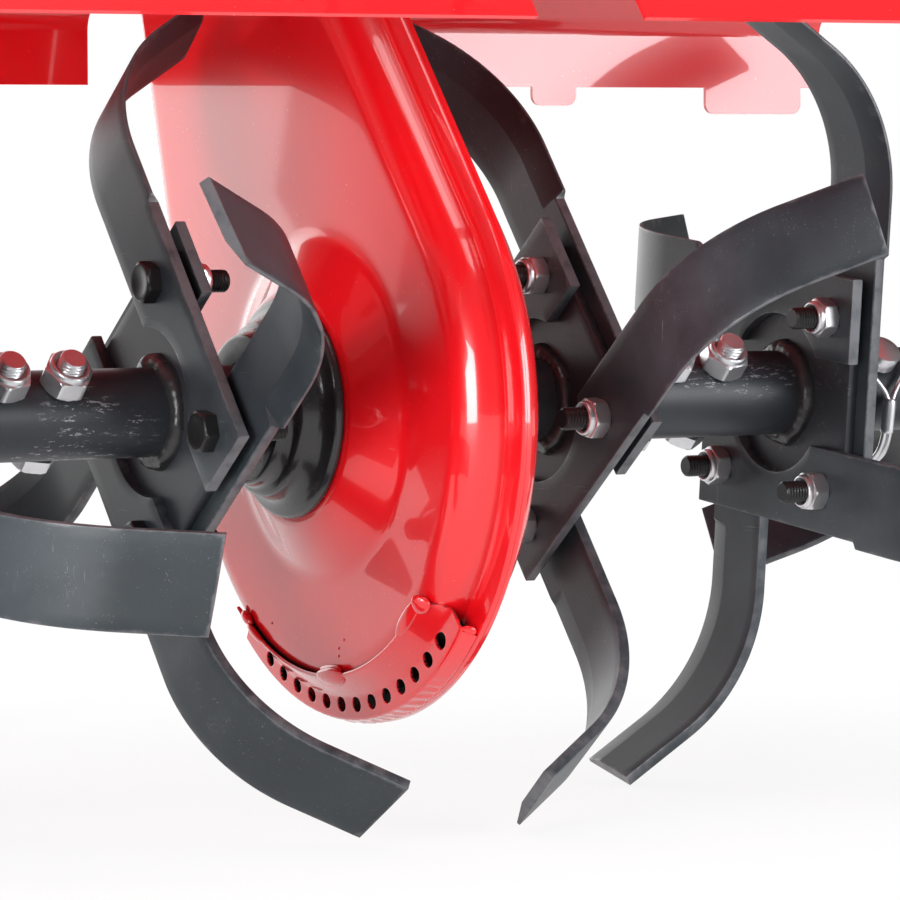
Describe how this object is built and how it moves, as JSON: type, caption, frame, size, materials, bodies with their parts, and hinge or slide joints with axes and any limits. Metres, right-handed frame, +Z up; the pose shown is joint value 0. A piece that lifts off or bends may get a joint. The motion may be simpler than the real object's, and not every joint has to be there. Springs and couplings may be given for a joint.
{
  "type": "garden tiller",
  "caption": "Walk-behind garden tiller with a slim red chain case, sickle tines on plates along tubes, small engine, belt drive, folding front wheel and handlebars.",
  "frame": {"origin": "middle of the footprint on the ground, under the lowest tine", "axes": "+X along the tine shaft to the machine's left, +Y to the rear where the operator walks, +Z up"},
  "size_m": [0.8326, 1.6074, 1.0132],
  "materials": {
    "red_paint": "gloss red paint",
    "black_paint": "satin black paint",
    "tine_steel": "thin dark paint over hardened steel",
    "gloss_black": "gloss black paint",
    "zinc": "bright zinc plate",
    "bare_steel": "ground steel",
    "seal_rubber": "oil-proof rubber",
    "cast_pulley": "turned cast iron",
    "cast_aluminium": "die-cast, blasted",
    "dark_steel": "heat-proof dark paint",
    "black_plastic": "moulded, fine grain",
    "tyre_rubber": "solid rubber"
  },
  "bodies": {
    "chassis": {"air_filter_cover": "black_plastic", "bearing_caps": "gloss_black", "belt_cover": "red_paint", "case_left_shell": "red_paint", "case_right_shell": "red_paint", "case_skid": "red_paint", "drive_belt": "seal_rubber", "drive_chain": "bare_steel", "engine_block": "cast_aluminium", "engine_cylinder": "cast_aluminium", "engine_deck": "black_paint", "fan_shroud": "red_paint", "frame_bolts": "zinc", "fuel_tank": "black_plastic", "input_bearings": "bare_steel", "left_fender": "red_paint", "muffler": "dark_steel", "recoil_cover": "black_plastic", "right_fender": "red_paint", "shaft_bearings": "bare_steel", "shaft_seals": "seal_rubber", "spark_plug": "seal_rubber", "starter_grip": "black_plastic"},
    "rotor": {"output_shaft": "bare_steel", "output_sprocket": "bare_steel", "right_inner_tine_tube": "black_paint", "right_outer_tine_tube": "black_paint", "left_inner_tine_tube": "black_paint", "left_outer_tine_tube": "black_paint", "right_inner_tines": "tine_steel", "right_middle_tines": "tine_steel", "right_outer_tines": "tine_steel", "left_inner_tines": "tine_steel", "left_middle_tines": "tine_steel", "left_outer_tines": "tine_steel", "tine_bolts": "tine_steel", "tine_nuts": "zinc", "hub_fasteners": "zinc", "lock_pins": "zinc"},
    "right_bail": {"right_lock_bail": "zinc"},
    "left_bail": {"left_lock_bail": "zinc"},
    "input": {"input_shaft": "bare_steel", "driven_pulley": "cast_pulley"},
    "crank": {"crankshaft": "bare_steel", "flywheel": "cast_aluminium", "crank_pulley": "cast_pulley"},
    "idler_arm": {"idler_arm": "black_paint"},
    "idler_wheel": {"idler_pulley": "cast_pulley"},
    "handle": {"handlebars": "black_paint", "grips": "seal_rubber"},
    "clutch": {"clutch_lever": "black_paint"},
    "throttle": {"throttle_lever": "black_paint"},
    "front_arm": {"wheel_arm": "black_paint", "wheel_axle": "zinc"},
    "front_wheel": {"wheel_rim": "black_plastic", "wheel_tyre": "tyre_rubber"},
    "tank_cap": {"fuel_cap": "black_plastic"},
    "stake": {"depth_stake": "zinc"},
    "knob": {"stake_knob": "black_plastic"}
  },
  "joints": [
    {"name": "rotor_spin", "type": "hinge", "parent": "chassis", "child": "rotor", "pos_m": [0, -0.16304, 0.17955], "axis": [1, 0, 0], "continuous": true, "deforming": ["drive_chain"]},
    {"name": "right_bail_swing", "type": "hinge", "parent": "rotor", "child": "right_bail", "pos_m": [-0.2645, -0.1793, 0.19581], "axis": [1, 0, 0], "range_deg": [-100, 0]},
    {"name": "left_bail_swing", "type": "hinge", "parent": "rotor", "child": "left_bail", "pos_m": [0.2645, -0.1793, 0.19581], "axis": [1, 0, 0], "range_deg": [-100, 0]},
    {"name": "input_spin", "type": "hinge", "parent": "chassis", "child": "input", "pos_m": [0, 0.01242, 0.51661], "axis": [1, 0, 0], "continuous": true},
    {"name": "crank_spin", "type": "hinge", "parent": "chassis", "child": "crank", "pos_m": [0, -0.10804, 0.68961], "axis": [1, 0, 0], "continuous": true},
    {"name": "idler_swing", "type": "hinge", "parent": "chassis", "child": "idler_arm", "pos_m": [0.104, 0.05942, 0.59961], "axis": [1, 0, 0], "range_deg": [0, 10.5], "deforming": ["drive_belt"]},
    {"name": "idler_spin", "type": "hinge", "parent": "idler_arm", "child": "idler_wheel", "pos_m": [0.126, 0.02895, 0.65656], "axis": [1, 0, 0], "continuous": true},
    {"name": "handle_tilt", "type": "hinge", "parent": "chassis", "child": "handle", "pos_m": [0, 0.07196, 0.62861], "axis": [1, 0, 0], "range_deg": [-12, 12]},
    {"name": "clutch_squeeze", "type": "hinge", "parent": "handle", "child": "clutch", "pos_m": [0.243, 0.65296, 0.91561], "axis": [1, 0, 0], "range_deg": [0, 20], "stiffness_Nm_per_rad": 2, "springref_deg": -20.05},
    {"name": "throttle_set", "type": "hinge", "parent": "handle", "child": "throttle", "pos_m": [-0.2418, 0.63856, 0.97021], "axis": [1, 0, 0], "range_deg": [-28, 28]},
    {"name": "front_arm_fold", "type": "hinge", "parent": "chassis", "child": "front_arm", "pos_m": [0, -0.36304, 0.50955], "axis": [1, 0, 0], "range_deg": [0, 63]},
    {"name": "front_wheel_spin", "type": "hinge", "parent": "front_arm", "child": "front_wheel", "pos_m": [0, -0.70872, 0.47931], "axis": [1, 0, 0], "continuous": true},
    {"name": "fuel_cap_turn", "type": "hinge", "parent": "chassis", "child": "tank_cap", "pos_m": [0.007, -0.02304, 0.84891], "axis": [0, 0, 1], "range_deg": [0, 90]},
    {"name": "stake_depth", "type": "slide", "parent": "chassis", "child": "stake", "axis": [0, 0, 1], "range_m": [-0.08, 0.12]},
    {"name": "knob_turn", "type": "hinge", "parent": "chassis", "child": "knob", "pos_m": [0, 0.26941, 0.53161], "axis": [0, 1, 0], "range_deg": [0, 180]}
  ],
  "couplings": [
    {"joint": "input_spin", "follows": "rotor_spin", "ratio": 5},
    {"joint": "idler_swing", "follows": "clutch_squeeze", "ratio": 0.525}
  ]
}
